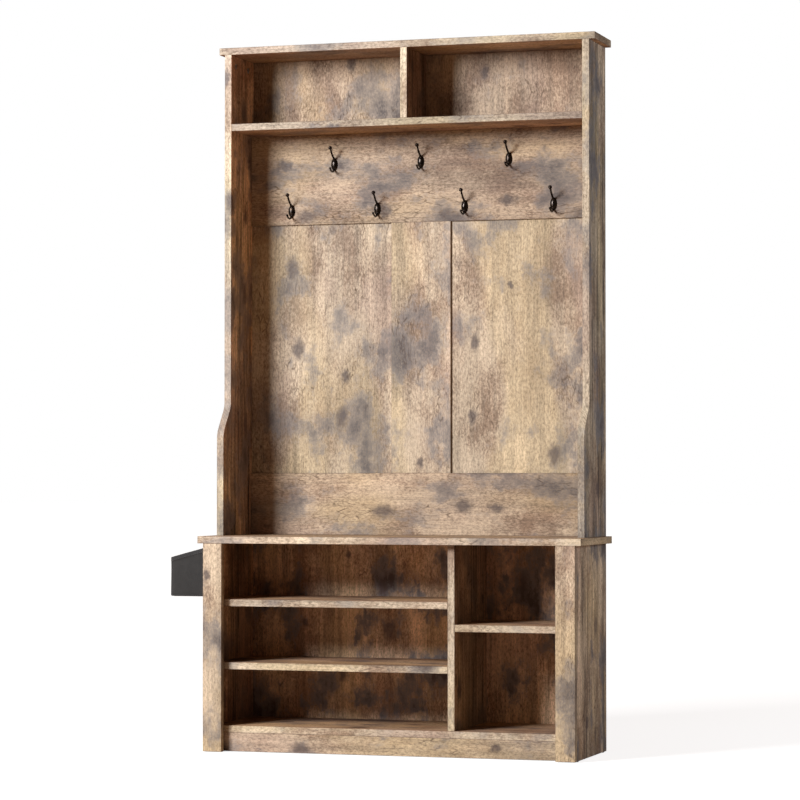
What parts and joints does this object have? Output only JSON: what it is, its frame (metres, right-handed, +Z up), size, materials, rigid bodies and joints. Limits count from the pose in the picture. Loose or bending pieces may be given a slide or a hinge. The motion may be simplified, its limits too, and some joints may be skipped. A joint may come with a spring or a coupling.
{
  "type": "hall tree with hooks",
  "caption": "Hall tree with a shoe bench of open shelves, a hutch with cubbies over rows of double coat hooks, and a fabric pouch on one side.",
  "frame": {"origin": "middle of the bottom of the whole box, on the floor", "axes": "+Z up, +Y towards the wall, +X to the right when facing the bench, the pouch at the -X side"},
  "size_m": [1.085, 0.32, 1.805],
  "materials": {
    "rustic_board": "matt rustic laminate, tan with dark knots and grey-brown smudges, grain along each board",
    "back_board": "matt laminate on the backs and infill panels, the same pattern, grain upright, raw brown behind",
    "bronze": "satin oil-rubbed bronze paint, brown where it is worn",
    "zinc_steel": "bright zinc plate",
    "pouch_fabric": "matt charcoal woven polyester with bound edges",
    "glide": "matt black moulded plastic"
  },
  "bodies": {
    "root": {"bench_top": "rustic_board", "base_floor_panel": "rustic_board", "front_kick_rail": "rustic_board", "back_kick_rail": "rustic_board", "base_divider": "rustic_board", "lower_shoe_shelf": "rustic_board", "upper_shoe_shelf": "rustic_board", "right_shelf": "rustic_board", "base_left_side": "rustic_board", "base_right_side": "rustic_board", "left_face_stile": "rustic_board", "right_face_stile": "rustic_board", "hutch_left_side": "rustic_board", "hutch_right_side": "rustic_board", "hutch_top": "rustic_board", "cubby_floor": "rustic_board", "cubby_divider": "rustic_board", "hook_board": "rustic_board", "middle_stile": "rustic_board", "lower_board": "rustic_board", "base_back_panel": "back_board", "cubby_back_panel": "back_board", "left_back_panel": "back_board", "right_back_panel": "back_board", "left_front_glide": "glide", "left_back_glide": "glide", "right_front_glide": "glide", "right_back_glide": "glide", "left_front_cam_lock": "zinc_steel", "left_back_cam_lock": "zinc_steel", "right_front_cam_lock": "zinc_steel", "right_back_cam_lock": "zinc_steel", "left_front_cam_bolt": "zinc_steel", "left_back_cam_bolt": "zinc_steel", "right_front_cam_bolt": "zinc_steel", "right_back_cam_bolt": "zinc_steel", "coat_hook_1": "bronze", "coat_hook_2": "bronze", "coat_hook_3": "bronze", "coat_hook_4": "bronze", "coat_hook_5": "bronze", "coat_hook_6": "bronze", "coat_hook_7": "bronze", "hook_1_top_screw": "bronze", "hook_1_bottom_screw": "bronze", "hook_2_top_screw": "bronze", "hook_2_bottom_screw": "bronze", "hook_3_top_screw": "bronze", "hook_3_bottom_screw": "bronze", "hook_4_top_screw": "bronze", "hook_4_bottom_screw": "bronze", "hook_5_top_screw": "bronze", "hook_5_bottom_screw": "bronze", "hook_6_top_screw": "bronze", "hook_6_bottom_screw": "bronze", "hook_7_top_screw": "bronze", "hook_7_bottom_screw": "bronze", "bag_front_screw": "bronze", "bag_back_screw": "bronze", "storage_bag": "pouch_fabric"}
  },
  "joints": []
}
